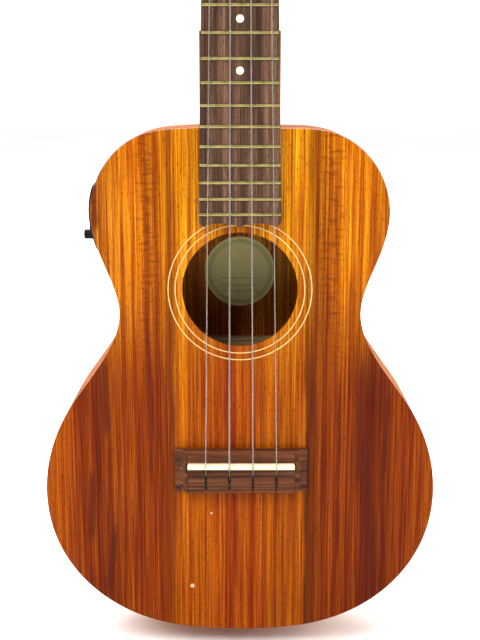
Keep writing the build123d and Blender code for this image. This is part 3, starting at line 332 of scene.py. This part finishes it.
# clear nylon: dull grey, mostly see-through and smooth
nylon, nylon_tree, nylon_shader, nylon_place = new_material("clear_nylon_string", roughness=0.22, ior=1.53)
nylon_drift = grain(nylon_tree, nylon_place, (3, 3, 30))
nylon_colour = ramp(nylon_tree, nylon_drift, ((0.3, "#AEA49E"), (0.7, "#CEC4BC")))
nylon_tree.links.new(nylon_colour, nylon_shader.inputs["Base Color"])
nylon_shader.inputs["Transmission Weight"].default_value = 0.75
paint(bone, "nut", "saddle")
paint(inlay, "rosette_rings")
paint(pearl, "fret_markers")
paint(nylon, "string_g", "string_c", "string_e", "string_a", *[f"string_winding_{n}" for n in range(1, 5)])

label_low, label_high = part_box("label")
label_centre = (label_low + label_high) / 2
label_radius = (label_high.x - label_low.x) / 2


def label_paper():
    """Pale yellow-green paper with two thin printed rings and faint ruled lines, no lettering."""
    material, tree, shader, place = new_material("printed_label_paper", roughness=0.8, specular=0.2)
    fibre = grain(tree, place, (1.2, 1.2, 1.2), detail=3.0)
    colour = ramp(tree, fibre, ((0.3, "#D2C684"), (0.7, "#E0D494")))
    away = node(
        tree, "ShaderNodeVectorMath", {0: place, 1: label_centre}, operation="DISTANCE",
    ).outputs["Value"]
    for share in (0.90, 0.84):
        gap = calc(tree, "ABSOLUTE", calc(tree, "SUBTRACT", away, label_radius * share))
        ring = band(tree, gap, 0.35 * MM, 0.15 * MM, 0.0, 0.65)
        colour = tint(tree, ring, colour, linear("#6A6238"))
    spot = node(tree, "ShaderNodeSeparateXYZ", {0: place})
    width = band(tree, calc(tree, "ABSOLUTE", spot.outputs["X"]), 12.5 * MM, 12.0 * MM)
    for drop in (4.0, 8.5, 12.5):
        gap = calc(tree, "ABSOLUTE", calc(tree, "SUBTRACT", spot.outputs["Z"], label_centre.z - drop * MM))
        rule = calc(tree, "MULTIPLY", band(tree, gap, 0.35 * MM, 0.15 * MM, 0.0, 0.5), width)
        colour = tint(tree, rule, colour, linear("#6A6238"))
    tree.links.new(colour, shader.inputs["Base Color"])
    return material


paint(label_paper(), "label")

# ------------------------------------------------------------------ metals and plastics

# nickel-brass wire, polished by the strings
fret_wire = mottled("nickel_brass_fret_wire", ("#8E8450", "#A89C66"), (5, 5, 5), 0.32, metallic=1.0)
nickel = mottled("nickel_plated_steel", ("#B8B6B0", "#D2D0CA"), (4, 4, 4), 0.24, metallic=1.0)
satin_steel = mottled(
    "stamped_steel_plate", ("#A8A6A0", "#C4C2BC"), (1.2, 9, 9), 0.34, metallic=1.0, depth=0.01,
)
gear_brass = mottled("machined_brass_gear", ("#B08A3E", "#CFA85A"), (2, 2, 2), 0.3, metallic=1.0)
foil = mottled("brass_foil_pickup", ("#A88A4A", "#C8A860"), (3, 3, 3), 0.4, metallic=1.0)
cell_can = mottled("stamped_cell_can", ("#BEBDB8", "#DAD9D4"), (2, 2, 2), 0.25, metallic=1.0)
# cast resin with a pearly swirl
ivory = mottled("ivory_resin_button", ("#DCD0A8", "#F2EAD0"), (6, 4, 4), 0.28, coat=0.4)
black_abs = mottled(
    "black_moulded_abs", ("#060607", "#0C0C0D"), (0.6, 0.6, 0.6), 0.48, specular=0.2, depth=0.02,
)
knob_abs = mottled(
    "black_soft_touch_knob", ("#050506", "#0B0B0C"), (0.5, 0.5, 0.5), 0.55, specular=0.15, depth=0.02,
)
window = mottled("smoked_display_window", ("#05080C", "#0A1016"), (8, 8, 8), 0.12, coat=0.5, rough_swing=0.04)
solder_mask = mottled("green_solder_mask", ("#0B3A1C", "#12512A"), (3, 3, 3), 0.35)
paint(fret_wire, "frets")
paint(nickel, "tuner_bushings", "wood_screws", "jack_socket")
paint(satin_steel, "tuner_plates")
paint(foil, "pickup_strip")
paint(cell_can, "battery")
paint(black_abs, "preamp_housing", "preamp_bezel", "strap_button", "battery_drawer")
paint(knob_abs, "preamp_knob_volume", "preamp_knob_tone", "preamp_button")
paint(window, "preamp_display")
paint(solder_mask, "preamp_board")
for number in range(1, 5):
    paint(nickel, f"tuner_post_{number}", f"tuner_worm_{number}")
    paint(gear_brass, f"tuner_gear_{number}")
    paint(ivory, f"tuner_button_{number}")

# ------------------------------------------------------------------ stage, light and camera
FLOOR_GAP = 2.0 * MM
floor_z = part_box("strap_button")[0].z - FLOOR_GAP
FLOOR_HALF = 8.0           # metres
# matt paper, so the body's shadow stays soft and nothing mirrors in the floor
paper = mottled("white_paper_sweep", ("#F4F4F2", "#FAFAF8"), (400, 400, 400), 0.9, specular=0.1)
floor_mesh = bmesh.new()
bmesh.ops.create_grid(floor_mesh, x_segments=1, y_segments=1, size=FLOOR_HALF)
bmesh.ops.translate(floor_mesh, verts=floor_mesh.verts, vec=(0, 0, floor_z))
floor_data = bpy.data.meshes.new("paper_floor")
floor_mesh.to_mesh(floor_data)
floor_mesh.free()
floor = bpy.data.objects.new("paper_floor", floor_data)
bpy.context.collection.objects.link(floor)
floor_data.materials.append(paper)

world = bpy.data.worlds.new("studio_backdrop")
world.use_nodes = True
# the backdrop behind is white; the room in front is dim, so the lacquer stays clear of glare
world_tree = world.node_tree
world_tree.nodes["Background"].inputs["Color"].default_value = (1, 1, 1, 1)
heading = node(
    world_tree, "ShaderNodeSeparateXYZ", {0: node(world_tree, "ShaderNodeTexCoord").outputs["Generated"]}
)
behind = band(world_tree, heading.outputs["Y"], -0.25, 0.1, 0.2, 1.3)
above = band(world_tree, heading.outputs["Z"], 0.25, 0.8, 0.0, 1.1)
world_tree.links.new(
    calc(world_tree, "MAXIMUM", behind, above), world_tree.nodes["Background"].inputs["Strength"]
)
bpy.context.scene.world = world


def softbox(name, place, target, size, watts):
    """A square area light that faces a target."""
    lamp = bpy.data.lights.new(name, "AREA")
    lamp.size = size
    lamp.energy = watts
    thing = bpy.data.objects.new(name, lamp)
    thing.location = place
    thing.rotation_euler = (Vector(target) - Vector(place)).to_track_quat("-Z", "Y").to_euler()
    bpy.context.collection.objects.link(thing)


BODY_MIDDLE = (0, 0, -0.33)
# name, place, target, size in metres and power in watts
SOFTBOXES = (
    ("key_softbox", (-0.75, -0.9, 0.75), BODY_MIDDLE, 0.8, 23.0),
    ("right_softbox", (1.1, -0.75, 0.35), BODY_MIDDLE, 0.8, 14.0),
    ("backdrop_softbox", (0.0, 1.6, 1.2), (0, 0.8, floor_z), 1.6, 70.0),
)
for softbox_facts in SOFTBOXES:
    softbox(*softbox_facts)

CAMERA_PLACE = (0.0, -0.6164, -0.21705)
CAMERA_TILT = 12.075       # degrees below level
SENSOR_WIDTH = 36.0        # mm
LENS = 61.875              # mm
camera_data = bpy.data.cameras.new("front_camera")
camera_data.sensor_width = SENSOR_WIDTH
camera_data.lens = LENS
camera = bpy.data.objects.new("front_camera", camera_data)
camera.location = CAMERA_PLACE
camera.rotation_euler = (math.radians(90 - CAMERA_TILT), 0, 0)
bpy.context.collection.objects.link(camera)
bpy.context.scene.camera = camera
bpy.context.scene.view_settings.view_transform = "Standard"
